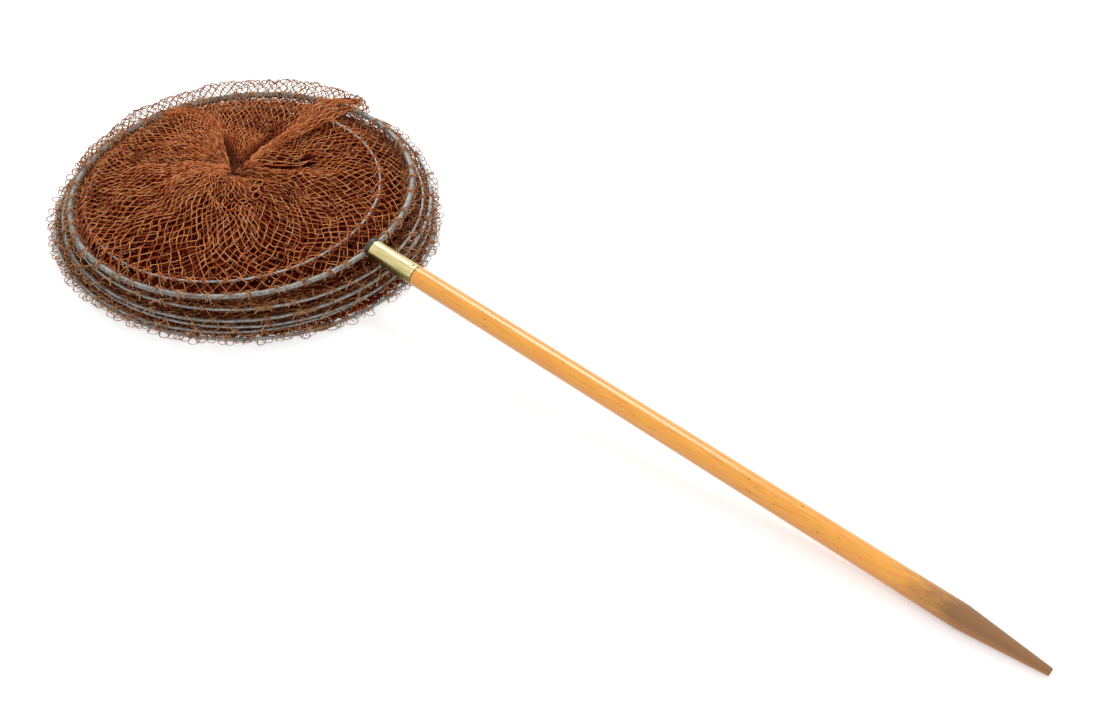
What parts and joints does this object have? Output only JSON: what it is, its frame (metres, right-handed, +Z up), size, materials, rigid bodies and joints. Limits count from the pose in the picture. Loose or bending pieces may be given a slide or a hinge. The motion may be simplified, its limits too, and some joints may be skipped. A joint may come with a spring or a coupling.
{
  "type": "fishing keepnet",
  "caption": "Collapsed fishing keepnet: wire mouth ring on a wooden bank stick, knotted net bag on loose wire hoops, and a smaller end hoop with a gathered end panel.",
  "frame": {"origin": "middle of the bounding box, on the surface the net lies on", "axes": "+X from the mouth ring along the bank stick to its point, +Z up, as the net lies"},
  "size_m": [1.1322, 0.3934, 0.0691],
  "materials": {
    "ring_wire": "galvanised wire gone dull and mottled",
    "hoop_wire": "dull grey wire",
    "brazed_sleeve": "tarnished brazed sleeve",
    "socket_steel": "dark steel",
    "ferrule_brass": "polished brass tube",
    "stick_wood": "varnished, worn at the point",
    "net_twine": "rust-brown tanned twine, knotted"
  },
  "bodies": {
    "floor_hoop": {"hoop_5": "hoop_wire", "hoop_5_sleeve": "brazed_sleeve", "net_band_5": "net_twine", "net_end_band": "net_twine"},
    "fourth_hoop": {"hoop_4": "hoop_wire", "hoop_4_sleeve": "brazed_sleeve", "net_band_4": "net_twine"},
    "third_hoop": {"hoop_3": "hoop_wire", "hoop_3_sleeve": "brazed_sleeve", "net_band_3": "net_twine"},
    "second_hoop": {"hoop_2": "hoop_wire", "hoop_2_sleeve": "brazed_sleeve", "net_band_2": "net_twine"},
    "first_hoop": {"hoop_1": "hoop_wire", "hoop_1_sleeve": "brazed_sleeve", "net_band_1": "net_twine"},
    "mouth": {"mouth_ring": "ring_wire", "ring_socket": "socket_steel", "ferrule": "ferrule_brass", "ferrule_pin": "socket_steel", "bank_stick": "stick_wood"},
    "net_end": {"end_hoop": "hoop_wire", "end_hoop_sleeve": "brazed_sleeve", "end_panel": "net_twine", "net_gather": "net_twine", "gather_tie": "net_twine"}
  },
  "joints": [
    {"name": "fourth_hoop_lift", "type": "slide", "parent": "floor_hoop", "child": "fourth_hoop", "axis": [0, 0, 1], "range_m": [0, 0.22], "deforming": ["net_band_5"]},
    {"name": "third_hoop_lift", "type": "slide", "parent": "fourth_hoop", "child": "third_hoop", "axis": [0, 0, 1], "range_m": [0, 0.22], "deforming": ["net_band_4"]},
    {"name": "second_hoop_lift", "type": "slide", "parent": "third_hoop", "child": "second_hoop", "axis": [0, 0, 1], "range_m": [0, 0.22], "deforming": ["net_band_3"]},
    {"name": "first_hoop_lift", "type": "slide", "parent": "second_hoop", "child": "first_hoop", "axis": [0, 0, 1], "range_m": [0, 0.22], "deforming": ["net_band_2"]},
    {"name": "mouth_lift", "type": "slide", "parent": "first_hoop", "child": "mouth", "axis": [0, 0, 1], "range_m": [0, 0.22], "deforming": ["net_band_1"]},
    {"name": "net_end_lift", "type": "slide", "parent": "floor_hoop", "child": "net_end", "axis": [0, 0, 1], "range_m": [0, 0.15], "deforming": ["net_end_band"]}
  ]
}
